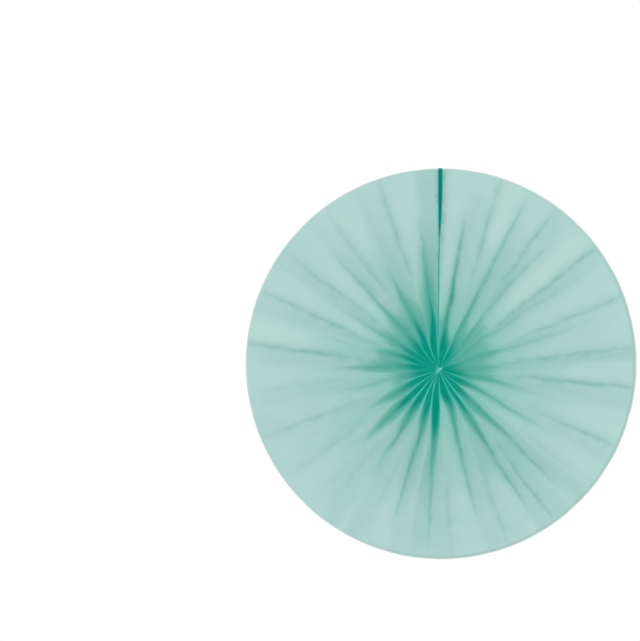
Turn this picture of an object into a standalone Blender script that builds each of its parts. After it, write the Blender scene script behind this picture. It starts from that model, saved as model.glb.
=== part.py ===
"""Paper fan rosette: one accordion-pleated strip of paper, gathered at a hub and closed
on itself along one seam at twelve o'clock.

The fan stands upright as it hangs. X is to the right, Z is up, and the front faces -Y.
Bearings run clockwise from twelve o'clock, as the front shows them.
"""

import math

import bmesh
import bpy
from mathutils import Vector

# Paper, card and thread, in metres
paper_thickness = 0.00015
card_thickness = 0.0003
tape_thickness = 0.0001
thread_radius = 0.00022
glue_gap = 0.0001

# The opened fan
rim_radius = 0.150
rim_pleat_depth = 0.003
hub_drop = 0.0047
hub_left = 0.0006
pleat_count = 23

# The gathered hub
hub_wall_gap = 0.0002
thread_from_edge = 0.0013
thread_clearance = 0.00022

# The panels between the folds
puff_height = 0.0022
crease_sink = 0.0004

# The seam, which sways to the left halfway out
wedge_width = 0.0032
seam_sway = 0.0013
card_inset = 0.0005
card_start = 0.007
tape_behind_wedge = 0.0001
tape_back_inset = 0.001

# Bearings, in degrees, of the folds from the seam round to the seam again, as they lie in
# the middle of the fan. They start with a valley, and valleys and crests take turns.
fold_bearings = (
    9.5, 18.5, 26.5, 35.5, 41, 52, 56, 68, 72.5, 83.5, 87, 95.5, 102, 113, 119,
    127, 134, 142.5, 147.5, 157.5, 164, 176.5, 183.5, 190, 197, 205, 212, 220,
    227, 235, 242, 248, 257, 263, 271, 277, 287, 293, 302, 307, 317, 324, 333,
    342.5, 353,
)

# Shares of the way from the hub to the rim, and from a crest to a valley
ring_shares = (0, 0.03, 0.09, 0.2, 0.35, 0.52, 0.68, 0.85, 1)
panel_shares = (0.14, 0.42, 0.72)
even_hub_share = 0.07
wedge_start_share = 0.68
wedge_shut_share = 0.6
tape_start_share = 0.09
sway_rise_shares = (-0.1, 0.3)
sway_fall_shares = (0.42, 0.72)
valley_drift_shares = (0.7, 1.05)
puff_start_share = 0.15
puff_full_share = 0.6
rim_puff_share = 0.45
sink_start_share = 0.35
round_start_share = 0.15
round_full_share = 0.5
roundness = 0.6
fold_flat_share = 0.85

# Powers, the reach of the seam's sway to its sides in radians, and counts of flat sides
depth_fall_power = 2.2
round_power = 2.2
sway_reach = 0.15
thread_sides = 6
thread_turn_sides = 36
hole_sides = 8
hole_turn_sides = 96
knot_sides = 12
knot_rings = 8

# Sizes that follow from those above
rim_panel_width = math.pi * rim_radius / pleat_count
panel_width = math.hypot(rim_panel_width, rim_pleat_depth)
wall_pitch = paper_thickness + hub_wall_gap
card_plane = tape_thickness / 2 + glue_gap + card_thickness / 2
flap_plane = card_plane + card_thickness / 2 + glue_gap + paper_thickness / 2
hub_wall_spaces = 2 * pleat_count + 1
hub_radius = (hub_wall_spaces * wall_pitch + 2 * flap_plane) / (2 * math.pi)
fold_width = fold_flat_share * wall_pitch
thread_ring_radius = hub_radius + thread_from_edge
hub_centre = Vector((-hub_left, 0, -hub_drop))
middle_y = -(panel_width - rim_pleat_depth) / 4


def smooth_step(low, high, value):
    """0 below low, 1 above high, and a soft climb between them."""
    t = min(max((value - low) / (high - low), 0), 1)
    return t * t * (3 - 2 * t)


def mix(a, b, t):
    return a + (b - a) * t


def reach(bearing):
    """Distance from the hub's centre to the rim's circle at a bearing."""
    along = hub_centre.x * math.sin(bearing) + hub_centre.z * math.cos(bearing)
    return -along + math.sqrt(along**2 - hub_centre.length_squared + rim_radius**2)


def radius_at(bearing, share):
    return mix(hub_radius, reach(bearing), share)


def sway(bearing, share):
    """How far a point is pushed sideways by the seam, which isn't quite straight."""
    bump = smooth_step(*sway_rise_shares, share) * (1 - smooth_step(*sway_fall_shares, share))
    from_seam = math.remainder(bearing, 2 * math.pi)
    return -seam_sway * bump * math.exp(-((from_seam / sway_reach) ** 2))


def spot(bearing, share, y):
    """The point at a bearing and a share of the way from hub to rim."""
    radius = radius_at(bearing, share)
    x = hub_centre.x + radius * math.sin(bearing) + sway(bearing, share)
    z = hub_centre.z + radius * math.cos(bearing)
    return Vector((x, y, z))


def pleat_depth(share):
    """Depth from crest to valley: a whole panel at the hub, little at the rim."""
    opened = (1 - share) ** depth_fall_power
    return math.sqrt(rim_pleat_depth**2 + rim_panel_width**2 * opened)


def crest_y(share):
    return middle_y - pleat_depth(share) / 2


def puff(share):
    """How far a panel's middle bulges to the front."""
    swell = smooth_step(puff_start_share, puff_full_share, share)
    return puff_height * swell * mix(1, rim_puff_share, smooth_step(puff_full_share, 1, share))


def rounded(t, share):
    """The share of the pleat's depth at a share t of the way from a crest to a valley."""
    roundest = roundness * smooth_step(round_start_share, round_full_share, share)
    return mix(t, t**round_power, roundest)


def wedge_opening(share, depth=0):
    """How far each end card stands off at a depth, as the seam's front opens to the rim."""
    past = max(share - wedge_start_share, 0) / (1 - wedge_start_share)
    shut = min(depth / (wedge_shut_share * panel_width), 1)
    return past * (1 - shut) * wedge_width / 2


def fold_bearing(index, share):
    """Bearing, in radians, of a fold. Fold 0 is the seam's right crest and the last one
    its left crest. Odd folds are valleys."""
    last = hub_wall_spaces - 1
    along_hub = flap_plane + (index + 0.5) * wall_pitch
    hub_bearing = along_hub / hub_radius
    if index in (0, last):
        beside = flap_plane + wedge_opening(share) + fold_width / 2
        outer = math.asin(beside / radius_at(0, share))
        outer = outer if index == 0 else 2 * math.pi - outer
    else:
        outer = math.radians(fold_bearings[index - 1])
        if index % 2:
            crests = (0, *fold_bearings[1::2], 360)
            midway = math.radians(crests[index // 2] + crests[index // 2 + 1]) / 2
            outer = mix(outer, midway, smooth_step(*valley_drift_shares, share))
    return mix(hub_bearing, outer, smooth_step(0, even_hub_share, share))


def fold_edges(index, share):
    """Bearings of the two edges of a fold's narrow flat."""
    bearing = fold_bearing(index, share)
    half = math.asin(fold_width / 2 / radius_at(bearing, share))
    return bearing - half, bearing + half


def fold_y(index, share):
    """Valleys lie at the back and crests at the front, where they sink to a groove."""
    if index % 2:
        return crest_y(share) + pleat_depth(share)
    sink = crease_sink * smooth_step(sink_start_share, puff_full_share, share)
    return crest_y(share) + (0 if index in (0, hub_wall_spaces - 1) else sink)


def panel_points(index, share):
    """The points of the panel between a fold and the next, without its ends."""
    crest, valley = fold_edges(index, share)[1], fold_edges(index + 1, share)[0]
    folds = (index, index + 1)
    if index % 2:
        crest, valley = valley, crest
        folds = folds[::-1]
    points = []
    for t in panel_shares:
        y = mix(fold_y(folds[0], share), fold_y(folds[1], share), rounded(t, share))
        y -= puff(share) * math.sin(math.pi * t)
        points.append(spot(mix(crest, valley, t), share, y))
    return points[::-1] if index % 2 else points


def seam_point(side, plane, share, depth):
    """A point of a wall that stands on edge beside the seam, on the side -1 or 1. Its
    front leans away from the seam where the wedge opens."""
    away = plane + wedge_opening(share, depth)
    x = hub_centre.x + side * away + sway(0, share)
    z = hub_centre.z + math.sqrt(radius_at(0, share) ** 2 - away**2)
    return Vector((x, crest_y(share) + depth, z))


def sheet_row(share):
    """The whole strip's section at one share of the way out: the right end panel, every
    fold and panel clockwise, and the left end panel."""
    depths = (panel_width, panel_width * wedge_shut_share)
    row = [seam_point(1, flap_plane, share, depth) for depth in depths]
    for index in range(hub_wall_spaces):
        for bearing in fold_edges(index, share):
            row.append(spot(bearing, share, fold_y(index, share)))
        if index < hub_wall_spaces - 1:
            row.extend(panel_points(index, share))
    row.extend(seam_point(-1, flap_plane, share, depth) for depth in reversed(depths))
    return row


def grid_object(name, rows, thickness, material):
    """A sheet through rows of points, given its thickness to both sides."""
    mesh = bpy.data.meshes.new(name)
    bm = bmesh.new()
    vert_rows = [[bm.verts.new(point) for point in row] for row in rows]
    for inner, outer in zip(vert_rows, vert_rows[1:]):
        for i in range(len(inner) - 1):
            bm.faces.new((inner[i], inner[i + 1], outer[i + 1], outer[i]))
    bmesh.ops.triangulate(bm, faces=bm.faces, quad_method="FIXED")
    bm.to_mesh(mesh)
    bm.free()
    made = bpy.data.objects.new(name, mesh)
    bpy.context.scene.collection.objects.link(made)
    made.data.materials.append(material)
    shell = made.modifiers.new("Thickness", "SOLIDIFY")
    shell.thickness = thickness
    shell.offset = 0
    shell.use_even_offset = True
    return made


def finish_material(name, colour, roughness):
    material = bpy.data.materials.new(name)
    material.use_nodes = True
    shader = material.node_tree.nodes["Principled BSDF"]
    shader.inputs["Base Color"].default_value = (*colour, 1)
    shader.inputs["Roughness"].default_value = roughness
    shader.inputs["Metallic"].default_value = 0
    material.diffuse_color = (*colour, 1)
    return material


def hide_helper(helper):
    helper.hide_render = True
    helper.display_type = "WIRE"


def ring(name, tube_radius, tube_sides, turns_sides):
    """A closed round tube about the hub's axis, at the thread's place."""
    centre = (hub_centre.x, middle_y, hub_centre.z)
    bpy.ops.mesh.primitive_torus_add(
        major_segments=turns_sides,
        minor_segments=tube_sides,
        major_radius=thread_ring_radius,
        minor_radius=tube_radius,
        location=centre,
        rotation=(math.pi / 2, 0, 0),
    )
    made = bpy.context.active_object
    made.name = name
    return made


def make_pleated_sheet(material):
    rows = [sheet_row(share) for share in ring_shares]
    sheet = grid_object("pleated_sheet", rows, paper_thickness, material)
    hole_radius = thread_radius + thread_clearance
    cutter = ring("thread_hole_cutter", hole_radius, hole_sides, hole_turn_sides)
    hide_helper(cutter)
    holes = sheet.modifiers.new("Thread holes", "BOOLEAN")
    holes.operation = "DIFFERENCE"
    holes.solver = "EXACT"
    holes.object = cutter
    return sheet


def make_seam_plate(name, side, plane, thickness, shares, depths, material):
    """A thin plate on edge in the seam, between the two end panels. Its depths are given
    from the front to the back."""
    if side > 0:
        depths = depths[::-1]
    rows = [[seam_point(side, plane, share, depth) for depth in depths] for share in shares]
    return grid_object(name, rows, thickness, material)


def make_thread(material):
    """The thread's ring, with its knot in the clear space between the end panels."""
    thread = ring("binding_thread", thread_radius, thread_sides, thread_turn_sides)
    thread.data.materials.append(material)
    thread.data.shade_smooth()
    knot_half_width = flap_plane - paper_thickness / 2 - glue_gap
    place = (hub_centre.x, middle_y, hub_centre.z + thread_ring_radius)
    bpy.ops.mesh.primitive_uv_sphere_add(
        segments=knot_sides, ring_count=knot_rings, radius=knot_half_width, location=place
    )
    knot = bpy.context.active_object
    knot.name = "thread_knot"
    hide_helper(knot)
    tied = thread.modifiers.new("Knot", "BOOLEAN")
    tied.operation = "UNION"
    tied.solver = "EXACT"
    tied.object = knot
    return thread


def main():
    for old in list(bpy.data.objects):
        bpy.data.objects.remove(old, do_unlink=True)
    paper = finish_material("mint_paper", (0.42, 0.66, 0.59), 0.9)
    card = finish_material("teal_card", (0.02, 0.32, 0.24), 0.85)
    tape = finish_material("clear_adhesive", (0.75, 0.78, 0.74), 0.5)
    cotton = finish_material("white_thread", (0.75, 0.78, 0.76), 0.9)

    make_pleated_sheet(paper)
    start_share = (card_start - hub_radius) / (radius_at(0, 1) - hub_radius)
    card_shares = [start_share, *(s for s in ring_shares if s > start_share)]
    depths = (card_inset, wedge_shut_share * panel_width, panel_width - card_inset)
    for name, side in (("end_card_right", 1), ("end_card_left", -1)):
        make_seam_plate(name, side, card_plane, card_thickness, card_shares, depths, card)
    tape_shares = [s for s in ring_shares if s >= tape_start_share]
    tape_front = wedge_shut_share * panel_width + tape_behind_wedge
    depths = (tape_front, panel_width - tape_back_inset)
    make_seam_plate("adhesive_strip", 1, 0, tape_thickness, tape_shares, depths, tape)
    make_thread(cotton)


main()
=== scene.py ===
import math

import bpy
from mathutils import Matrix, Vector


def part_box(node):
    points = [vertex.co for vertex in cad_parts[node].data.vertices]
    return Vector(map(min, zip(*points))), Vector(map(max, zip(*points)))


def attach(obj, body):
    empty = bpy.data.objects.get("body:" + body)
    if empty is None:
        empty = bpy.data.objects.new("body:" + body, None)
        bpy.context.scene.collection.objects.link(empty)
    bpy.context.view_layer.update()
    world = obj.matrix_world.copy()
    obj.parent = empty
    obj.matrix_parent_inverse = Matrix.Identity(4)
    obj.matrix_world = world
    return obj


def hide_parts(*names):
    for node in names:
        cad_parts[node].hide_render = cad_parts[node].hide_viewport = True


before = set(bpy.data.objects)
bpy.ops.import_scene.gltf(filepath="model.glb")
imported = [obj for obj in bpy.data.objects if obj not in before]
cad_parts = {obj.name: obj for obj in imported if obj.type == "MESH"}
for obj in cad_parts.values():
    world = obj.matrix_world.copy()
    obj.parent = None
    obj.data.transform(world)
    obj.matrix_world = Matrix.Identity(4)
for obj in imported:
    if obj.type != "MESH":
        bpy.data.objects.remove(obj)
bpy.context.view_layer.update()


# the photograph's frame, and the rim's circle in it
photoView = {
    "width": 640,
    "height": 641,
    "rimX": 441.0,
    "rimY": 363.8,
    "rimRadius": 195.1,
    "cameraAway": 4.0,
    "sensor": 36,
}

# the folds, read by eye from the photograph, then moved by hand, in part by the differences that
# scripts measured between the render and the photograph: bearings in degrees clockwise from the
# seam, and places as shares of the way out from the hub. A valley lies between each two crests.
# For a valley: its bearing, and that a fifth of the way out; where the deep tone (painted shade) ends,
# and where the open tone starts; where its dark line (painted shade) ends, how strong that is, and how
# pointed the deep tone's lobe is.
valleys = (
    (8.6, 8.3, 0.21, 0.27, 0.8, 1.3, 2), (26.6, 26.5, 0.15, 0.35, 0.97, 0.9, 2),
    (39.6, 40, 0.1, 0.34, 0.9, 0.5, 1.5), (56, 52.5, 0.06, 0.29, 0.9, 0.42, 1.5),
    (72.8, 70, 0.09, 0.34, 0.75, 0.45, 1.5), (87, 86.5, 0.085, 0.29, 0.4, 0.5, 1.5),
    (102.6, 100, 0.145, 0.31, 0.52, 0.65, 1.5), (119, 116.7, 0.175, 0.3, 0.62, 0.72, 1.2),
    (134.8, 134, 0.205, 0.43, 0.88, 1, 1.1), (147.8, 146, 0.27, 0.46, 0.9, 1.15, 1),
    (166.4, 160, 0.215, 0.37, 0.82, 1, 1.6), (185.1, 185.2, 0.375, 0.56, 0.98, 1, 0.8),
    (197.2, 198.7, 0.28, 0.4, 0.86, 1.15, 0.7), (213, 216.5, 0.27, 0.44, 0.66, 0.9, 0.6),
    (227.3, 228.3, 0.3, 0.52, 0.56, 1, 0.7), (241, 241, 0.22, 0.4, 0.45, 0.7, 1),
    (258, 260.5, 0.145, 0.25, 0.6, 0.4, 1.5), (271.7, 276, 0.19, 0.45, 0.56, 0.8, 1.2),
    (287.2, 290.3, 0.215, 0.36, 0.4, 0.35, 1.2), (301.6, 302.3, 0.21, 0.37, 0.6, 0.5, 1.2),
    (317.3, 318.7, 0.2, 0.42, 0.8, 0.8, 1.2), (332.5, 333.5, 0.25, 0.46, 0.62, 0.9, 1),
    (352.5, 355.5, 0.33, 0.62, 0.78, 1, 0.9),
)
# for a crest: the same four, where the painted shade of its soft dark crease starts and ends, how
# strong that is, and how pale the painted highlight on its ridge is beside the hub
crests = (
    (18.3, 22, 0.125, 0.17, 0.45, 1, 0.6, 0.6), (35.5, 39, 0.115, 0.26, 0.45, 1, 0.6, 0.35),
    (52, 51, 0.075, 0.3, 0.25, 1.05, 0.7, 0.3), (68, 65.5, 0.05, 0.29, 0.4, 1.05, 0.6, 0.1),
    (83.5, 79, 0.095, 0.27, 0.3, 1.05, 0.7, 0.05), (95.4, 95.5, 0.115, 0.3, 0.35, 1.05, 0.8, 0.1),
    (113.7, 111, 0.11, 0.21, 0.5, 1.05, 0.6, 0.7), (127.8, 127.5, 0.115, 0.13, 0.5, 0.8, 0.15, 0.3),
    (143, 143.5, 0.12, 0.3, 0.42, 1, 0.8, 0.8), (158.8, 154, 0.13, 0.22, 0.5, 1, 0.5, 0.8),
    (177.5, 178.5, 0.135, 0.145, 0.5, 1, 0.4, 0.7), (190.6, 193.3, 0.145, 0.24, 0.6, 1, 0.2, 0.8),
    (205.5, 206.5, 0.12, 0.21, 0.5, 0.9, 0.25, 0.9), (220.3, 221.3, 0.12, 0.28, 0.4, 0.9, 0.3, 0.7),
    (235, 233.5, 0.12, 0.28, 0.4, 0.9, 0.3, 0.6), (249, 251, 0.13, 0.27, 0.4, 1, 0.45, 0.6),
    (263.6, 266.5, 0.125, 0.27, 0.4, 0.9, 0.25, 0.2), (278.3, 284.3, 0.14, 0.35, 0.35, 1, 0.8, 0.15),
    (293, 296, 0.165, 0.3, 0.3, 1, 0.7, 0.2), (307.1, 308.5, 0.165, 0.33, 0.4, 1, 0.6, 0.2),
    (324.4, 325.3, 0.14, 0.36, 0.4, 0.92, 0.4, 0.4), (342.2, 343, 0.11, 0.35, 0.4, 0.98, 0.65, 0.5),
)
# the same for the two crests at the seam, whose creases carry the soft painted shade on both sides of
# it
seamCrests = ((0, 0, 0.11, 0.28, 0.48, 1.15, 0.9, 0.7), (360, 360, 0.07, 0.42, 0.4, 1.15, 1, 0.7))
# for each panel, clockwise from the seam: how pale it is in the open, or how dark if below nought,
# in steps chosen from its mean tone in the photograph, as a script measured it
# the steps are painted light and shade: each panel is made paler above nought and darker below it
panelLightSteps = (
    1, 0, 2, 0, 0, 2, 0, 1, 0, 0, -1, 1, 0, 1, 0, 0, -1, -1, -1, 0, 0, 0, 0, -1,
    0, 1, 0, 0, 0, 1, 0, 1, 0, 0, 1, 0, 2, 0, 1, 0, 1, 0, 1, 0, 1, -1,
)
# and how dark it is about halfway out, in steps chosen from the differences in tone between the
# render and the photograph
# these steps are painted shade; and how dark it is about halfway out, in steps chosen from the
# differences in tone between the render and the photograph, as a script measured them
panelMiddleShades = (
    0, 0, 2, 1, 2, 0, 0, 0, 0, 0, 0, 1, 0, 1, 0, 0, 0, 2, 0, 3, 1, 1, 1, 4,
    2, 2, 1, 1, 0, 1, 1, 1, 0, 0, 1, 0, 2, 0, 0, 0, 0, 0, 2, 1, 1, 3,
)
# for each fold, clockwise from one seam crest to the other: how many degrees it turns on its way
# to the rim, most of them offsets that a script measured near the rim, rounded by hand
rimTurns = (
    0, 0.3, -0.2, -0.2, -0.2, 0.8, 0, 0, 0, 0, 0, 0, 0, 0, 0, 0.2, 0, 0, 0.1, 0.2, -0.3, -0.5, -0.8,
    -0.8, -0.7, -0.6, -0.6, -1, -0.4, 0, 0, 0, 0, 0, -0.5, -0.7, -0.7, -0.3, 0.6, 0.2, 0, -0.2, -0.5,
    -0.1, -0.7, -0.5, 0,
)
# and how many degrees more it has turned beside the hub, read from the photograph
hubTurns = (
    0, 1.7, 2, 5.5, 3, 7, 2.5, 7, 1.5, 3, 1, -0.5, 0, 1, -2, 1.8, 0.5, 2, 0.5, 4, 2.5, 5, 0.7, 1.8,
    2.7, 1.8, 1.3, -2, -0.5, 0.2, 1.5, 3, 0, -0.5, -0.5, 1.3, -1.8, -1.3, -1.5, -1.8, -2, -4.2, -5,
    -5.5, -5.7, -7.5, 0,
)

sheetLow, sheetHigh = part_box("pleated_sheet")
threadLow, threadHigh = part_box("binding_thread")
rimRadius = (sheetHigh.x - sheetLow.x) / 2
hubX = (threadLow.x + threadHigh.x) / 2
hubZ = threadLow.z + (threadHigh.x - threadLow.x) / 2  # the thread's knot stands above its ring
hubY = (threadLow.y + threadHigh.y) / 2
foldCount = len(valleys) + len(crests) + len(seamCrests)
panelCount = foldCount - 1
rimPanel = 2 * math.pi * rimRadius / panelCount

# what a user would change on the pleated paper, in metres, radians, shares and counts
paper = {
    "thickness": 0.00015,
    "rimDepth": 0.003,
    "hubRadius": 0.0003,
    "flapPlane": 0.00046,
    "slotBearing": 0.78,
    "slotHalf": 0.0026,
    "squeeze": 0.00038,
    "hubShiftX": -0.0014,
    "hubShiftZ": 0.0004,
    "shiftEnd": 0.45,
    "drift": 0.4,
    "pinchEnd": 0.045,
    "foldWidth": 0.0003,
    "fallPower": 2.2,
    "tipRadius": 0.0008,
    "tipLongest": -0.7,
    "tipShortest": 1.5,
    "tipPower": 4,
    "roundness": 0.6,
    "roundPower": 2.2,
    "puff": 0.0022,
    "puffStart": 0.15,
    "puffFull": 0.6,
    "rimPuff": 0.45,
    "sway": 0.0013,
    "swayReach": 0.15,
    "sink": 0.0004,
    "sinkWidth": 0.002,
    "evenHub": 0.025,
    "wedgeStart": 0.665,
    "wedgeFull": 0.86,
    "wedgePower": 0.6,
    "wedgeWidth": 0.0028,
    "wedgeDepth": 0.6,
    "wander": 0.0009,
    "wrinkle": 0.00035,
    "columns": 12,
    "rings": 72,
    "closerRings": 0.55,
    "closerColumns": 0.5,
    "seed": 4.0,
}
paper["width"] = math.hypot(rimPanel, paper["rimDepth"])

# the shares of the way out between which each change on the paper comes in
spans = {
    "tips": (0.05, 0.0),
    "hubTurn": (0.2, 0.09),
    "squeeze": (0.2, 0.13),
    "wander": (0.1, 0.35),
    "outerBearing": (0.12, 0.4),
    "rounding": (0.15, 0.5),
    "swayOut": (-0.1, 0.3),
    "swayBack": (0.95, 0.42),
    "ripple": (0.3, 0.7),
    "sink": (0.35, 0.6),
    "rimTurn": (0.5, 0.78),
    "rimBearing": (0.7, 1.05),
}
# how closely the noises follow the folds and the way out, and how one seed is told from another
paperNoise = {
    "wanderFold": 3.31,
    "wanderOut": 3.0,
    "rippleBearing": 9.0,
    "rippleOut": 2.2,
    "bulgeSeed": 2.3,
}
# how long before and past the marked shares of the way out a dark line of painted shade fades in and
# out
lineFades = {
    "crestIn": 0.2,
    "crestFull": 0.25,
    "crestFading": 0.2,
    "crestGone": 0.1,
    "valleyFading": 0.22,
    "valleyGone": 0.06,
}


class Wire:
    # one output of a node, so that arithmetic on it adds Math nodes to its tree
    def __init__(self, plan, socket):
        self.plan = plan
        self.socket = socket

    def __add__(self, other):
        return self.plan.maths("ADD", self, other)

    def __radd__(self, other):
        return self.plan.maths("ADD", other, self)

    def __sub__(self, other):
        return self.plan.maths("SUBTRACT", self, other)

    def __rsub__(self, other):
        return self.plan.maths("SUBTRACT", other, self)

    def __mul__(self, other):
        return self.plan.maths("MULTIPLY", self, other)

    def __rmul__(self, other):
        return self.plan.maths("MULTIPLY", other, self)

    def __truediv__(self, other):
        return self.plan.maths("DIVIDE", self, other)

    def __rtruediv__(self, other):
        return self.plan.maths("DIVIDE", other, self)

    def __pow__(self, other):
        return self.plan.maths("POWER", self, other)

    def __abs__(self):
        return self.plan.maths("ABSOLUTE", self)

    def floor(self):
        return self.plan.maths("FLOOR", self)

    def sine(self):
        return self.plan.maths("SINE", self)

    def cosine(self):
        return self.plan.maths("COSINE", self)

    def root(self):
        return self.plan.maths("SQRT", self)

    def over(self, value):
        return self.plan.maths("GREATER_THAN", self, value)

    def atLeast(self, value):
        return self.plan.maths("MAXIMUM", self, value)

    def atMost(self, value):
        return self.plan.maths("MINIMUM", self, value)

    def ramp(self, low, high, start=0.0, end=1.0):
        # a straight climb from start to end as the value goes from low to high
        return self.plan.node("ShaderNodeMapRange", None, {0: self, 1: low, 2: high, 3: start, 4: end})

    def climb(self, low, high, start=0.0, end=1.0):
        # the same climb with soft ends
        return self.plan.node(
            "ShaderNodeMapRange",
            {"interpolation_type": "SMOOTHSTEP"},
            {0: self, 1: low, 2: high, 3: start, 4: end},
        )

    def bell(self, width):
        # 1 at zero, falling away on both sides over about the width
        return self.plan.maths("EXPONENT", (self / width) * (self / width) * -1)


class Plan:
    # a node tree, and the one method that adds any node to it
    def __init__(self, tree):
        self.tree = tree

    def node(self, kind, settings=None, inputs=(), output=0):
        made = self.tree.nodes.new(kind)
        for name, value in (settings or {}).items():
            if name == "stops":
                fillRamp(made.color_ramp, value)
            else:
                setattr(made, name, value)
        pairs = inputs.items() if isinstance(inputs, dict) else enumerate(inputs)
        for key, value in pairs:
            if isinstance(value, Wire):
                self.tree.links.new(value.socket, made.inputs[key])
            else:
                made.inputs[key].default_value = value
        return Wire(self, made.outputs[output]) if len(made.outputs) else None

    def maths(self, operation, *values):
        return self.node("ShaderNodeMath", {"operation": operation}, values)

    def mix(self, share, first, second):
        return first + (second - first) * share

    def mixColour(self, share, first, second):
        return self.node("ShaderNodeMix", {"data_type": "RGBA"}, {0: share, 6: first, 7: second}, 2)

    def vector(self, x, y, z):
        return self.node("ShaderNodeCombineXYZ", None, (x, y, z))

    def place(self):
        return self.node("ShaderNodeTexCoord", None, (), "Object")

    def noise(self, place, scale, detail=2.0, roughness=0.5):
        inputs = {"Vector": place, "Scale": scale, "Detail": detail, "Roughness": roughness}
        return self.node("ShaderNodeTexNoise", None, inputs)

    def random(self, number):
        # from 0 to 1, the same each time for the same number
        return self.node("ShaderNodeTexWhiteNoise", {"noise_dimensions": "1D"}, {"W": number})

    def attribute(self, name):
        return self.node("ShaderNodeAttribute", {"attribute_name": name}, (), "Fac")


def fillRamp(ramp, stops):
    while len(ramp.elements) < len(stops):
        ramp.elements.new(0.5)
    for element, (place, colour) in zip(ramp.elements, stops):
        element.position = place
        element.color = colour


def colourOf(red, green, blue):
    # a colour as a picture shows it, 0 to 255, turned to the linear values that shaders take
    def linear(value):
        share = value / 255
        return share / 12.92 if share <= 0.04045 else ((share + 0.055) / 1.055) ** 2.4

    return (linear(red), linear(green), linear(blue), 1.0)


black = colourOf(0, 0, 0)


def newMaterial(name):
    material = bpy.data.materials.new(name)
    material.use_nodes = True
    material.node_tree.nodes.clear()
    return material, Plan(material.node_tree)


def finishMaterial(plan, inputs):
    shader = plan.node("ShaderNodeBsdfPrincipled", None, inputs)
    plan.node("ShaderNodeOutputMaterial", None, {0: shader})


# the mint paper: its colours follow the distance from the folds and the way out from the hub, with
# painted shade in the folds and near the hub and painted highlights on the ridges and the edge
paperTones = {
    "rim": colourOf(178, 214, 208),
    "outer": colourOf(173, 210, 204),
    "middle": colourOf(164, 207, 200),
    "inner": colourOf(144, 201, 191),
    "near": colourOf(124, 192, 179),
    "cool": colourOf(160, 202, 200),
    "pale": colourOf(188, 222, 214),
    "shade": colourOf(134, 190, 179),
    "creaseShade": colourOf(112, 176, 162),
    "valley": colourOf(62, 160, 144),
    "deep": colourOf(2, 148, 129),
    "deepPale": colourOf(26, 164, 147),
    "half": colourOf(84, 172, 157),
    "ridge": colourOf(90, 198, 183),
    "tip": colourOf(112, 200, 188),
    "edgeHighlight": colourOf(196, 220, 215),
    "edgeShade": colourOf(169, 196, 190),
}
# the shares of the way out at which the open paper has each of its tones, darker towards the hub
# as painted shade of the deep pleats
toneStops = ((0.1, "near"), (0.28, "inner"), (0.45, "middle"), (0.7, "outer"), (0.95, "rim"))

# the scales of the noises, and how far they move a tone's edge or a line
paperGrain = {
    "cloud": 18.0,
    "cloudShift": 0.1,
    "patchPanel": 3.7,
    "patchOut": 2.7,
    "mottle": 110.0,
    "streakAcross": 2.0,
    "streakPanel": 5.3,
    "streakOut": 9.0,
    "streakShift": 0.3,
    "speck": 700.0,
    "fibre": 900.0,
    "fibreDepth": 0.0002,
    "wobble": 90.0,
    "wobbleShift": 0.003,
}
# the widths of the painted shade lines along the folds and of the painted highlights on the ridges
# in metres, and how strong each width is
paperLines = {
    "valleySoft": 0.0036,
    "valleySoftShare": 0.3,
    "valleySharp": 0.002,
    "valleySharpOuter": 0.0015,
    "valleySharpShare": 0.56,
    "crestSoft": 0.0042,
    "crestSoftShare": 0.25,
    "crestSharp": 0.0017,
    "crestSharpShare": 0.44,
    "ridgeTip": 0.00012,
    "ridge": 0.00042,
}
# how strong the painted light and shade of the single panels are
panelShares = {"pale": 0.28, "shade": 0.2, "middle": 0.22}
# the rim's painted highlight edge and the painted shade just inside it, as shares of the way out, and
# the side the shade lies on
rimEdge = {
    "edgeStart": 0.992,
    "edgeFull": 0.997,
    "shadeAt": 0.989,
    "shadeWidth": 0.005,
    "shadeSide": (0.8, 0, -0.6),
}
# how much of the paper's colour is a painted glow, given as Emission in place of light that comes
# through it from behind: in the open, in the tight folds, and how much more beside a valley
through = {"open": 0.68, "tight": 0.85, "valley": 0.2, "valleyWidth": 0.004, "most": 0.9}


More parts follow.
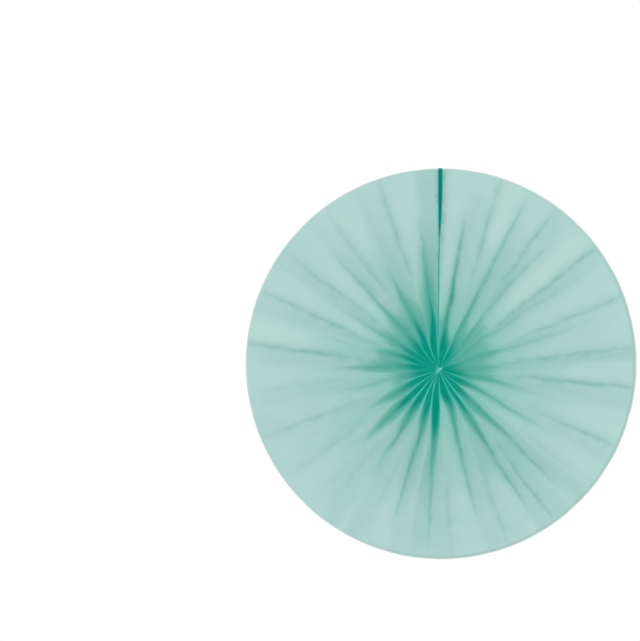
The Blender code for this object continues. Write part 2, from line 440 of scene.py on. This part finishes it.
class PaperLook:
    # the marks that the sheet's points carry, the noises, and the layers of colour made of them
    def __init__(self, plan):
        self.plan = plan
        self.place = plan.place()
        self.out = plan.attribute("outShare")
        self.toValley = plan.attribute("toValley")
        self.panel = plan.attribute("panelNumber")
        self.cloud = plan.noise(self.place, paperGrain["cloud"], 3.0)
        self.mottle = plan.noise(self.place, paperGrain["mottle"], 4.0, 0.65)
        across = self.toValley * paperGrain["streakAcross"] + self.panel * paperGrain["streakPanel"]
        along = self.out * paperGrain["streakOut"]
        self.streak = plan.noise(plan.vector(across, along, 0.0), 1.0, 3.0)
        wobble = plan.noise(self.place, paperGrain["wobble"], 2.0) - 0.5
        wobble = wobble * self.out.climb(0.25, 0.5) * paperGrain["wobbleShift"]
        self.fromCrest = plan.attribute("fromCrest") + wobble
        self.fromValley = plan.attribute("fromValley") + wobble

    def layer(self, colour, share, tone):
        return self.plan.mixColour(share, colour, paperTones[tone])

    def openPaper(self):
        # painted shade: darker towards the hub, and mottled in the open
        stops = [(share, paperTones[tone]) for share, tone in toneStops]
        shifted = self.out + (self.cloud - 0.5) * paperGrain["cloudShift"]
        colour = self.plan.node("ShaderNodeValToRGB", {"stops": stops}, (shifted,))
        opened = self.out.climb(0.3, 0.55)
        colour = self.layer(colour, self.mottle.climb(0.5, 0.8, 0.0, 0.3) * opened, "cool")
        colour = self.layer(colour, self.mottle.climb(0.5, 0.2, 0.0, 0.3) * opened, "pale")

        # inside a panel, clear of its folds, lie wide patches, and the panel's painted light and shade:
        # paler for some panels, darker for others
        inside = opened * self.toValley.climb(0.0, 0.35) * self.toValley.climb(1.0, 0.6)
        across, along = self.panel * paperGrain["patchPanel"], self.out * paperGrain["patchOut"]
        patch = self.plan.noise(self.plan.vector(across, along, 0.0), 1.0, 2.0)
        colour = self.layer(colour, patch.climb(0.42, 0.68, 0.0, 0.32) * inside, "cool")
        colour = self.layer(colour, patch.climb(0.46, 0.3, 0.0, 0.25) * inside, "pale")
        tone = self.plan.attribute("panelTone") * (1 - (1 - inside) * 0.8)
        colour = self.layer(colour, tone.atLeast(0) * panelShares["pale"], "pale")
        return self.layer(colour, (tone * -panelShares["shade"]).atLeast(0), "shade")

    def panelMiddle(self, colour):
        # painted shade: some panels are darker about halfway out
        middle = self.out.climb(0.22, 0.42) * self.out.climb(0.78, 0.5)
        middle = middle * self.toValley.climb(-0.15, 0.25) * self.toValley.climb(1.15, 0.8)
        middle = middle * self.plan.attribute("panelMiddle")
        return self.layer(colour, middle * panelShares["middle"], "shade")

    def valleyLine(self, colour):
        # painted shade along the valley: a sharp dark line in a soft one, which run into the deep tone
        sharp = self.out.climb(0.2, 0.6, paperLines["valleySharp"], paperLines["valleySharpOuter"])
        line = self.fromValley.bell(paperLines["valleySoft"]) * paperLines["valleySoftShare"]
        line = line + self.fromValley.bell(sharp) * paperLines["valleySharpShare"]
        line = self.plan.attribute("valleyLine") * line * self.mottle.climb(0.25, 0.6, 0.7, 1.1)
        return self.layer(colour, line * self.out.climb(0.65, 0.25, 0.5, 0.92), "valley")

    def deepShade(self, colour):
        # painted shade: the deep tone fills the valleys near the hub, with a half tone between it and
        # the open
        deepEnd = self.plan.attribute("deepEnd")
        openStart = self.plan.attribute("openStart")
        ragged = self.out + (self.streak - 0.5) * self.out * paperGrain["streakShift"]
        edged = openStart.climb(0.46, 0.34, 0.0, 0.55)
        half = ragged.climb(openStart + 0.02, openStart - 0.06) * edged
        half = half + ragged.climb(openStart + 0.08 - edged * 0.16, deepEnd) * (1 - edged)
        colour = self.layer(colour, half, "half")
        deep = self.layer(paperTones["deep"], self.streak.climb(0.45, 0.75), "deepPale")
        return self.plan.mixColour(ragged.climb(deepEnd + 0.06, deepEnd - 0.05), colour, deep)

    def crestLine(self, colour):
        # painted shade: soft dark creases along the crests, away from the hub
        line = self.fromCrest.bell(paperLines["crestSoft"]) * paperLines["crestSoftShare"]
        line = line + self.fromCrest.bell(paperLines["crestSharp"]) * paperLines["crestSharpShare"]
        line = self.plan.attribute("crestLine") * line * self.mottle.climb(0.3, 0.65, 0.55, 1.15)
        return self.layer(colour, line, "creaseShade")

    def ridge(self, colour):
        # painted highlights: the crests' narrow ridges are pale near the hub, and palest at their tips
        width = self.out.climb(0.0, 0.1, paperLines["ridgeTip"], paperLines["ridge"])
        ridge = self.fromCrest.bell(width) * self.out.climb(0.34, 0.18)
        ridge = ridge * self.plan.attribute("ridge") * self.streak.climb(0.3, 0.6, 0.6, 1.0)
        colour = self.layer(colour, ridge * self.out.climb(0.02, 0.1, 0.75, 1.0), "ridge")
        tip = self.out + (self.cloud - 0.5) * 0.02 + (self.streak - 0.5) * 0.012
        speck = self.plan.noise(self.place, paperGrain["speck"], 2.0)
        tip = tip.climb(0.015, 0.005) * speck.climb(0.35, 0.6, 0.35, 1.0)
        return self.layer(colour, tip, "tip")

    def rimHighlightAndShade(self, colour):
        # a painted highlight as a pale edge all round, with a thin painted shade just inside it at the
        # lower right
        towards = {0: self.place, 1: rimEdge["shadeSide"]}
        lower = self.plan.node("ShaderNodeVectorMath", {"operation": "DOT_PRODUCT"}, towards, "Value")
        shady = (self.out - rimEdge["shadeAt"]).bell(rimEdge["shadeWidth"]) * lower.climb(-0.02, 0.1)
        colour = self.layer(colour, shady, "edgeShade")
        return self.layer(colour, self.out.climb(rimEdge["edgeStart"], rimEdge["edgeFull"]), "edgeHighlight")

    def glowShare(self):
        # how much of the colour here is a painted glow standing in for light from behind
        beside = self.fromValley.bell(through["valleyWidth"]) * through["valley"]
        share = self.out.climb(0.5, 0.08, through["open"], through["tight"])
        return (share + beside).atMost(through["most"])


def makePaperMaterial():
    material, plan = newMaterial("mintPaper")
    look = PaperLook(plan)
    colour = look.panelMiddle(look.openPaper())
    for addTone in (look.valleyLine, look.deepShade, look.crestLine, look.ridge, look.rimHighlightAndShade):
        colour = addTone(colour)
    # the glow share is painted light: it is taken out of the Base Color and given as Emission
    share = look.glowShare()
    fibre = plan.noise(look.place, paperGrain["fibre"], 4.0, 0.6)
    height = {"Strength": 0.15, "Distance": paperGrain["fibreDepth"], "Height": fibre}
    finishMaterial(
        plan,
        {
            "Base Color": plan.mixColour(share, colour, black),
            "Roughness": 0.9,
            "Specular IOR Level": 0.0,
            "Normal": plan.node("ShaderNodeBump", None, height),
            "Emission Color": plan.mixColour(share, black, colour),
            "Emission Strength": 1.0,
        },
    )
    return material


# the end cards: a deep teal with darker flecks; part of the colour is a painted glow, given as Emission
cardLook = {
    "face": colourOf(14, 146, 132),
    "fleck": colourOf(10, 128, 114),
    "through": 0.6,
    "grain": 260.0,
    "grainDepth": 0.0002,
}


def makeCardMaterial():
    material, plan = newMaterial("tealCard")
    grain = plan.noise(plan.place(), cardLook["grain"], 4.0, 0.6)
    colour = plan.mixColour(grain.climb(0.35, 0.65), cardLook["face"], cardLook["fleck"])
    height = {"Strength": 0.2, "Distance": cardLook["grainDepth"], "Height": grain}
    finishMaterial(
        plan,
        {
            "Base Color": colour,
            "Roughness": 0.8,
            "Specular IOR Level": 0.2,
            "Normal": plan.node("ShaderNodeBump", None, height),
            # a painted glow: this share of the card's colour is given as Emission
            "Emission Color": plan.mixColour(cardLook["through"], black, colour),
            "Emission Strength": 1.0,
        },
    )
    return material


threadLook = {
    "pale": colourOf(150, 206, 196),
    "shade": colourOf(104, 180, 168),
    "strands": 2400.0,
    "strandDepth": 0.0001,
}


def makeThreadMaterial():
    material, plan = newMaterial("cottonThread")
    strands = plan.noise(plan.place(), threadLook["strands"], 2.0)
    colour = plan.mixColour(strands, threadLook["pale"], threadLook["shade"])
    height = {"Strength": 0.4, "Distance": threadLook["strandDepth"], "Height": strands}
    bump = plan.node("ShaderNodeBump", None, height)
    finishMaterial(plan, {"Base Color": colour, "Roughness": 0.9, "Normal": bump})
    return material


tapeLook = {"pale": colourOf(232, 238, 234), "streak": colourOf(206, 220, 214), "streaks": 120.0}


def makeTapeMaterial():
    material, plan = newMaterial("adhesiveTape")
    streak = plan.noise(plan.place(), tapeLook["streaks"], 3.0)
    colour = plan.mixColour(streak, tapeLook["pale"], tapeLook["streak"])
    finishMaterial(plan, {"Base Color": colour, "Roughness": 0.45})
    return material


# the fan's form, as sums on wires: its lengths come in through the tree's named inputs
class FanForm:
    def __init__(self, plan, wires):
        self.plan = plan
        self.wires = wires
        self.seamBearing = plan.node("ShaderNodeValue")  # nought, as the node has it when it is new

    def reach(self, bearing):
        # from the hub's centre to the rim's circle
        w = self.wires
        along = w["Hub X"] * bearing.sine() + w["Hub Z"] * bearing.cosine()
        away = w["Rim Radius"] * w["Rim Radius"] - w["Hub X"] * w["Hub X"] - w["Hub Z"] * w["Hub Z"]
        return (along * along + away).root() - along

    def radius(self, bearing, out):
        return self.plan.mix(out, self.wires["Hub Radius"], self.reach(bearing))

    def depth(self, out):
        # a panel's whole width at the hub, falling to the rim's depth
        w = self.wires
        closed = (1 - out).atLeast(0) ** w["Fall Power"]
        rim = w["Rim Depth"] * w["Rim Depth"]
        return (rim + (w["Panel Width"] * w["Panel Width"] - rim) * closed).root()

    def crestY(self, out):
        return self.wires["Middle Y"] - self.depth(out) / 2

    def puff(self, out):
        swell = out.climb(paper["puffStart"], paper["puffFull"])
        return self.wires["Puff"] * swell * out.climb(paper["puffFull"], 1.0, 1.0, paper["rimPuff"])

    def sway(self, out):
        # the seam isn't quite straight: halfway out it stands a little to the left
        return out.climb(*spans["swayOut"]) * out.climb(*spans["swayBack"]) * self.wires["Sway"] * -1

    def hub(self, out):
        # where the hub's centre lies for this share of the way out
        w = self.wires
        near = out.climb(paper["shiftEnd"], 0.0)
        return w["Hub X"] + near * w["Hub Shift X"], w["Hub Z"] + near * w["Hub Shift Z"]

    def wedge(self, out):
        # the seam opens to the rim, and its front edges are squeezed together at the hub
        opened = out.ramp(paper["wedgeStart"], paper["wedgeFull"]) ** paper["wedgePower"]
        opened = opened * self.wires["Wedge Width"] / 2
        return opened - out.climb(*spans["squeeze"]) * self.wires["Squeeze"]

    def seamX(self, plane, out, depth):
        # how far a wall on edge stands from the seam's plane
        shut = (depth / (self.wires["Panel Width"] * paper["wedgeDepth"])).atMost(1.0)
        return plane + self.wedge(out) * (1 - shut)


def newTree(name, numbers):
    # a Geometry Nodes tree with a named input for each number, and those inputs as wires
    tree = bpy.data.node_groups.new(name, "GeometryNodeTree")
    tree.interface.new_socket("Geometry", in_out="INPUT", socket_type="NodeSocketGeometry")
    tree.interface.new_socket("Geometry", in_out="OUTPUT", socket_type="NodeSocketGeometry")
    for label, value in numbers.items():
        kind = "NodeSocketInt" if isinstance(value, int) else "NodeSocketFloat"
        tree.interface.new_socket(label, in_out="INPUT", socket_type=kind)
    tree.interface.new_socket("Material", in_out="INPUT", socket_type="NodeSocketMaterial")
    plan = Plan(tree)
    start = tree.nodes.new("NodeGroupInput")
    wires = {socket.name: Wire(plan, socket) for socket in start.outputs if socket.name}
    return tree, plan, wires


def closeTree(plan, geometry, material):
    real = plan.node("GeometryNodeRealizeInstances", None, {0: geometry})
    dressed = plan.node("GeometryNodeSetMaterial", None, {"Geometry": real, "Material": material})
    plan.node("NodeGroupOutput", None, {0: dressed})


def runTree(name, mesh, tree, numbers, material, thickness):
    # the tree's result, given its paper or card thickness, as a plain mesh at the origin
    source = bpy.data.objects.new(name + "Plan", mesh)
    bpy.context.scene.collection.objects.link(source)
    shaper = source.modifiers.new("Shape", "NODES")
    shaper.node_group = tree
    for item in tree.interface.items_tree:
        if item.in_out == "INPUT" and item.name in numbers:
            shaper[item.identifier] = numbers[item.name]
        elif item.in_out == "INPUT" and item.name == "Material":
            shaper[item.identifier] = material
    shell = source.modifiers.new("Thickness", "SOLIDIFY")
    shell.thickness = thickness
    shell.offset = 0
    shell.use_even_offset = False
    graph = bpy.context.evaluated_depsgraph_get()
    plain = bpy.data.meshes.new_from_object(source.evaluated_get(graph))
    plain.name = name
    made = bpy.data.objects.new(name, plain)
    bpy.context.scene.collection.objects.link(made)
    bpy.data.objects.remove(source, do_unlink=True)
    plain.shade_smooth()
    plain.set_sharp_from_angle(angle=math.radians(50))
    return made


def takePlace(piece, node):
    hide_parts(node)
    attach(piece, "root")


def storeNumber(plan, geometry, name, value):
    settings = {"data_type": "FLOAT", "domain": "POINT"}
    inputs = {"Geometry": geometry, "Name": name, "Value": value}
    return plan.node("GeometryNodeStoreNamedAttribute", settings, inputs)


markNames = (
    "bearing",
    "innerBearing",
    "rimBearing",
    "seamSide",
    "panelTone",
    "panelMiddle",
    "deepEnd",
    "openStart",
    "lineStart",
    "lineEnd",
    "lineStrength",
    "ridgeOrPoint",
    "rimTurn",
    "hubTurn",
)


def foldMarks():
    # one vertex for each fold from the seam round to the seam, with what is known of that fold
    # and of the panel after it
    ridges = [seamCrests[0], *crests, seamCrests[1]]
    columns = {name: [] for name in markNames}
    for number in range(foldCount):
        near, far = ridges[number // 2], ridges[(number + 1) // 2]
        if number % 2:
            bearing, inner, deepEnd, openStart, end, strength, last = valleys[number // 2]
            start = 0
            rim = bearing + ((near[0] + far[0]) / 2 - bearing) * paper["drift"]
        else:
            bearing, inner, deepEnd, openStart, start, end, strength, last = near
            rim = bearing
        side = (number == 0) - (number == foldCount - 1)
        panel = min(number, panelCount - 1)
        tones = (panelLightSteps[panel], panelMiddleShades[panel])
        angles = [math.radians(value) for value in (bearing, inner, rim)]
        turns = [math.radians(table[number]) for table in (rimTurns, hubTurns)]
        values = (*angles, side, *tones, deepEnd, openStart, start, end, strength, last, *turns)
        for column, value in zip(columns.values(), values):
            column.append(float(value))
    mesh = bpy.data.meshes.new("foldMarks")
    mesh.from_pydata([(number, 0, 0) for number in range(foldCount)], [], [])
    for name, column in columns.items():
        mesh.attributes.new(name, "FLOAT", "POINT").data.foreach_set("value", column)
    return mesh


def makeSheetTree(numbers):
    tree, plan, w = newTree("pleatedStrip", numbers)
    form = FanForm(plan, w)
    columns, rings = w["Columns"], w["Rings"]
    flat = {0: 1.0, 1: 1.0, 2: columns * (panelCount + 2) + 1, 3: rings}
    grid = plan.node("GeometryNodeMeshGrid", None, flat)

    # a grid's points run outward first, so that a point's number gives its column and its ring
    number = plan.node("GeometryNodeInputIndex")
    column = ((number + 0.5) / rings).floor()
    outward = (number - column * rings) / (rings - 1)
    out = plan.mix(paper["closerRings"], outward, outward * outward)
    unit = ((column + 0.5) / columns).floor().atMost(panelCount + 1)
    part = (column - unit * columns) / columns
    index = (unit - 1).atLeast(0).atMost(panelCount - 1)
    right = 1 - unit.over(0.5)
    left = unit.over(panelCount + 0.5)

    def sampled(name, fold):
        value = plan.node("GeometryNodeInputNamedAttribute", {"data_type": "FLOAT"}, {0: name})
        settings = {"data_type": "FLOAT", "domain": "POINT"}
        inputs = {"Geometry": w["Geometry"], "Value": value, "Index": fold}
        return plan.node("GeometryNodeSampleIndex", settings, inputs)

    seamRadius = form.radius(form.seamBearing, out)

    def foldBearing(fold):
        # evenly gathered round the hub's hole, and turning to the bearings of the marks outside it
        pitch = (w["Hub Radius"] * (2 * math.pi) - w["Flap Plane"] * 2) / (panelCount + 1)
        gathered = (w["Flap Plane"] + (fold + 0.5) * pitch) / w["Hub Radius"]
        inner, outer = sampled("innerBearing", fold), sampled("bearing", fold)
        opened = plan.mix(out.climb(*spans["outerBearing"]), inner, outer)
        opened = plan.mix(out.climb(*spans["rimBearing"]), opened, sampled("rimBearing", fold))
        opened = opened + sampled("rimTurn", fold) * out.climb(*spans["rimTurn"])
        opened = opened + sampled("hubTurn", fold) * out.climb(*spans["hubTurn"])
        side = sampled("seamSide", fold)
        across, along = fold * paperNoise["wanderFold"], out * paperNoise["wanderOut"]
        wander = plan.noise(plan.vector(across, along, w["Seed"]), 1.0, 1.0) - 0.5
        wander = wander * w["Wander"] * 4 / seamRadius * (1 - abs(side)) * out.climb(*spans["wander"])
        beside = (w["Flap Plane"] + form.wedge(out) + w["Fold Width"] / 2) / seamRadius
        opened = opened + side * plan.maths("ARCSINE", beside) + wander
        return plan.mix(out.climb(0.0, paper["evenHub"]), gathered, opened)

    # the columns of a panel lie closer beside its folds, and its first and last are the folds' own
    startFold, endFold = foldBearing(index), foldBearing(index + 1)
    half = w["Fold Width"] / 2 / form.radius(startFold, out)
    step = 1 / columns
    across = ((part - step) / (1 - step * 2)).atLeast(0).atMost(1)
    across = plan.mix(paper["closerColumns"], across, 0.5 - (across * math.pi).cosine() * 0.5)
    bearing = plan.mix(across, startFold + half, endFold - half)
    bearing = bearing - (1 - part / step).atLeast(0) * half
    bearing = bearing + ((part - 1 + step) / step).atLeast(0) * half

    odd = index - (index / 2).floor() * 2
    crest, valley = index + odd, index + 1 - odd
    toValley = plan.mix(odd, across, 1 - across)
    crestBearing = plan.mix(odd, startFold, endFold)
    valleyBearing = plan.mix(odd, endFold, startFold)

    # beside the hub's hole the crests' tips reach further in than the valleys, each its own way
    tip = plan.random(crest + w["Seed"]) * (paper["tipShortest"] - paper["tipLongest"])
    tip = (tip + paper["tipLongest"]) * w["Tip Radius"]
    onCrest = (1 - toValley).atLeast(0) ** paper["tipPower"]
    radius = form.radius(bearing, out)
    radius = radius - onCrest * out.climb(*spans["tips"]) * (w["Hub Radius"] - tip)
    fromCrest = (bearing - crestBearing) * radius
    fromValley = (bearing - valleyBearing) * radius

    # a panel climbs steeply out of its valley and bulges, each by its own height
    depth = form.depth(out)
    crestY = form.crestY(out)
    bulge = form.puff(out) * (0.5 + plan.random(index + w["Seed"] * paperNoise["bulgeSeed"]))
    steep = toValley ** paper["roundPower"]
    rounded = plan.mix(out.climb(*spans["rounding"]) * w["Roundness"], toValley, steep)
    bow = (across * math.pi).sine()
    groove = fromCrest.bell(paper["sinkWidth"]) * w["Sink"] * out.climb(*spans["sink"])
    along = plan.vector(bearing * paperNoise["rippleBearing"], out * paperNoise["rippleOut"], w["Seed"])
    ripple = plan.noise(along, 1.0, 2.0) - 0.5
    ripple = ripple * w["Wrinkle"] * 4 * out.climb(*spans["ripple"])
    y = crestY + rounded * depth - bulge * bow + groove + ripple

    # the folds meet in a slot that slants from the lower left to the upper right
    slanted = (bearing - w["Slot Bearing"]).cosine()
    pinch = slanted * slanted * slanted * w["Slot Half"] * out.climb(paper["pinchEnd"], 0.0)
    fromSeam = bearing - bearing.over(math.pi) * (2 * math.pi)
    pushed = form.sway(out) * fromSeam.bell(paper["swayReach"])
    middleX, middleZ = form.hub(out)
    x = middleX + radius * bearing.sine() + pinch * w["Slot Bearing"].sine() + pushed
    z = middleZ + radius * bearing.cosine() + pinch * w["Slot Bearing"].cosine()

    # the two end panels stand on edge at the seam
    behind = (right * (1 - part) + left * part).atLeast(0)
    flapDepth = behind * w["Panel Width"]
    flapX = form.seamX(w["Flap Plane"], out, flapDepth)
    flapZ = (seamRadius * seamRadius - flapX * flapX).root()
    flap = right + left
    x = plan.mix(flap, x, middleX + (right - left) * flapX + form.sway(out))
    y = plan.mix(flap, y, crestY + flapDepth)
    z = plan.mix(flap, z, middleZ + flapZ)
    fromCrest = plan.mix(flap, fromCrest, flapDepth)
    fromValley = plan.mix(flap, fromValley, w["Panel Width"] - flapDepth)

    # how strong the painted shade lines and the painted deep shade are here, from the marks of the two
    # folds
    start, end = sampled("lineStart", crest), sampled("lineEnd", crest)
    crestLine = out.climb(start - lineFades["crestIn"], start + lineFades["crestFull"])
    crestLine = crestLine * out.climb(end + lineFades["crestGone"], end - lineFades["crestFading"])
    crestLine = crestLine * sampled("lineStrength", crest)
    end = sampled("lineEnd", valley)
    valleyLine = out.climb(end + lineFades["valleyGone"], end - lineFades["valleyFading"])
    valleyLine = valleyLine * sampled("lineStrength", valley)
    lobe = toValley.atLeast(0) ** sampled("ridgeOrPoint", valley)
    deepEnd = plan.mix(lobe, sampled("deepEnd", crest), sampled("deepEnd", valley))
    openStart = plan.mix(lobe, sampled("openStart", crest), sampled("openStart", valley))

    # the numbers are stored before the points move, because they are worked out from the flat grid
    shaped = grid
    for name, value in (
        ("outShare", out),
        ("toValley", toValley),
        ("fromCrest", fromCrest),
        ("fromValley", fromValley),
        ("crestLine", crestLine),
        ("valleyLine", valleyLine),
        ("deepEnd", deepEnd),
        ("openStart", openStart),
        ("ridge", sampled("ridgeOrPoint", crest)),
        ("panelTone", sampled("panelTone", index)),
        ("panelMiddle", sampled("panelMiddle", index)),
        ("panelNumber", index + flap * (panelCount + 1)),
    ):
        shaped = storeNumber(plan, shaped, name, value)
    shaped = plan.node("GeometryNodeSetPosition", None, {0: shaped, 2: plan.vector(x, y, z)})
    closeTree(plan, shaped, w["Material"])
    return tree


def makePlateTree(numbers):
    # a plate on edge in the seam, between two shares of the way out and two depths behind the crests
    tree, plan, w = newTree("seamPlate", numbers)
    form = FanForm(plan, w)
    rings, rows = w["Rings"], w["Rows"]
    grid = plan.node("GeometryNodeMeshGrid", None, {0: 1.0, 1: 1.0, 2: rows, 3: rings})
    number = plan.node("GeometryNodeInputIndex")
    row = ((number + 0.5) / rings).floor()
    out = plan.mix((number - row * rings) / (rings - 1), w["Start Share"], w["End Share"])
    backward = row / (rows - 1)
    backward = plan.mix(w["Side"].over(0), backward, 1 - backward)
    depth = plan.mix(backward, w["Front"], w["Panel Width"] - w["Back"])
    seamRadius = form.radius(form.seamBearing, out)
    x = form.seamX(w["Plane"], out, depth) * w["Side"]
    z = (seamRadius * seamRadius - x * x).root()
    middleX, middleZ = form.hub(out)
    place = plan.vector(middleX + x + form.sway(out), form.crestY(out) + depth, middleZ + z)
    shaped = plan.node("GeometryNodeSetPosition", None, {0: grid, 2: place})
    closeTree(plan, shaped, w["Material"])
    return tree


def fanNumbers():
    return {
        "Rim Radius": rimRadius,
        "Hub Radius": paper["hubRadius"],
        "Hub X": hubX,
        "Hub Z": hubZ,
        "Hub Shift X": paper["hubShiftX"],
        "Hub Shift Z": paper["hubShiftZ"],
        "Middle Y": hubY,
        "Panel Width": paper["width"],
        "Rim Depth": paper["rimDepth"],
        "Fall Power": paper["fallPower"],
        "Tip Radius": paper["tipRadius"],
        "Roundness": paper["roundness"],
        "Puff": paper["puff"],
        "Sink": paper["sink"],
        "Fold Width": paper["foldWidth"],
        "Flap Plane": paper["flapPlane"],
        "Wedge Width": paper["wedgeWidth"],
        "Slot Bearing": paper["slotBearing"],
        "Slot Half": paper["slotHalf"],
        "Sway": paper["sway"],
        "Squeeze": paper["squeeze"],
        "Wander": paper["wander"],
        "Wrinkle": paper["wrinkle"],
        "Seed": paper["seed"],
        "Columns": paper["columns"],
        "Rings": paper["rings"],
    }


print("shaping the pleated paper")
sheetNumbers = fanNumbers()
pleatedPaper = runTree(
    "pleatedPaper",
    foldMarks(),
    makeSheetTree(sheetNumbers),
    sheetNumbers,
    makePaperMaterial(),
    paper["thickness"],
)
takePlace(pleatedPaper, "pleated_sheet")

# the pieces in the seam: planes and depths in metres, shares of the way from hub to rim
seam = {
    "cardThickness": 0.0003,
    "cardPlane": 0.000145,
    "cardFront": 0.0004,
    "cardBack": 0.0003,
    "cardStart": 0.03,
    "cardEnd": 1.003,
    "tapeThickness": 0.00004,
    "tapePlane": 0.0,
    "tapeFront": 0.0136,
    "tapeBack": 0.001,
    "tapeStart": 0.09,
    "tapeEnd": 1.0,
    "rings": 60,
    "rows": 10,
}


def makeSeamPlate(name, kind, side, material):
    # a card or the tape, by the values in seam whose names start with its kind
    numbers = fanNumbers()
    numbers.update(
        {
            "Squeeze": 0.0,
            "Side": float(side),
            "Plane": seam[kind + "Plane"],
            "Start Share": seam[kind + "Start"],
            "End Share": seam[kind + "End"],
            "Front": seam[kind + "Front"],
            "Back": seam[kind + "Back"],
            "Rings": seam["rings"],
            "Rows": seam["rows"],
        }
    )
    mesh = bpy.data.meshes.new(name)
    return runTree(name, mesh, makePlateTree(numbers), numbers, material, seam[kind + "Thickness"])


print("making the seam's cards and tape")
cardMaterial = makeCardMaterial()
for name, node, side in (("leftCard", "end_card_left", -1), ("rightCard", "end_card_right", 1)):
    takePlace(makeSeamPlate(name, "card", side, cardMaterial), node)
takePlace(makeSeamPlate("tape", "tape", 1, makeTapeMaterial()), "adhesive_strip")

print("dressing the thread")
threadMaterial = makeThreadMaterial()
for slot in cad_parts["binding_thread"].material_slots:
    slot.material = threadMaterial

# the floor lies below the photograph's frame and fades out to the white of the world
stageSizes = {
    "floorDrop": 0.3,
    "floorRadius": 3.0,
    "fadeFrom": 0.35,
    "fadeTo": 0.9,
    "floorTone": (0.9, 0.9, 0.9, 1),
}


def makeFloor():
    bpy.ops.mesh.primitive_circle_add(
        vertices=96,
        radius=stageSizes["floorRadius"],
        fill_type="NGON",
        location=(0, 0, -stageSizes["floorDrop"]),
    )
    floor = bpy.context.active_object
    floor.name = "floor"
    material, plan = newMaterial("paleFloor")
    distance = plan.node("ShaderNodeVectorMath", {"operation": "LENGTH"}, {0: plan.place()}, "Value")
    fade = distance.climb(stageSizes["fadeFrom"], stageSizes["fadeTo"])
    solid = plan.node("ShaderNodeBsdfDiffuse", None, {0: stageSizes["floorTone"]})
    clear = plan.node("ShaderNodeBsdfTransparent")
    blend = plan.node("ShaderNodeMixShader", None, {0: fade, 1: solid, 2: clear})
    plan.node("ShaderNodeOutputMaterial", None, {0: blend})
    floor.data.materials.append(material)


lights = {
    "worldStrength": 0.74,
    "keyEnergy": 16.0,
    "keySize": 0.9,
    "keyPlace": (1.25, -1.5, 1.5),
}


def makeWorld():
    # white where the camera or a reflection sees it, and dimmer as a light on the paper
    world = bpy.data.worlds.new("paleRoom")
    bpy.context.scene.world = world
    world.use_nodes = True
    world.node_tree.nodes.clear()
    plan = Plan(world.node_tree)
    seen = plan.node("ShaderNodeLightPath", None, (), "Is Camera Ray")
    for ray in ("Is Glossy Ray", "Is Transmission Ray"):
        seen = seen.atLeast(plan.node("ShaderNodeLightPath", None, (), ray))
    strength = plan.mix(seen, lights["worldStrength"], 1.0)
    glow = plan.node("ShaderNodeBackground", None, {0: (1, 1, 1, 1), 1: strength})
    plan.node("ShaderNodeOutputWorld", None, {0: glow})


def makeKey():
    lamp = bpy.data.lights.new("softKey", "AREA")
    lamp.energy = lights["keyEnergy"]
    lamp.shape = "DISK"
    lamp.size = lights["keySize"]
    made = bpy.data.objects.new("softKey", lamp)
    bpy.context.scene.collection.objects.link(made)
    made.location = lights["keyPlace"]
    aim = made.location * -1
    made.rotation_euler = aim.to_track_quat("-Z", "Y").to_euler()


def makeCamera():
    # a pixel of the photograph is rimRadius / photoView["rimRadius"] metres at the fan
    pixel = rimRadius / photoView["rimRadius"]
    camera = bpy.data.cameras.new("camera")
    made = bpy.data.objects.new("camera", camera)
    bpy.context.scene.collection.objects.link(made)
    made.location = (
        (photoView["width"] / 2 - photoView["rimX"]) * pixel,
        -photoView["cameraAway"],
        (photoView["rimY"] - photoView["height"] / 2) * pixel,
    )
    made.rotation_euler = (math.pi / 2, 0, 0)
    camera.sensor_width = photoView["sensor"]
    tall = photoView["height"] * pixel
    camera.lens = photoView["sensor"] * photoView["cameraAway"] / tall
    bpy.context.scene.camera = made


print("setting the stage, the light and the camera")
makeFloor()
makeWorld()
makeKey()
makeCamera()
bpy.context.scene.view_settings.view_transform = "Standard"
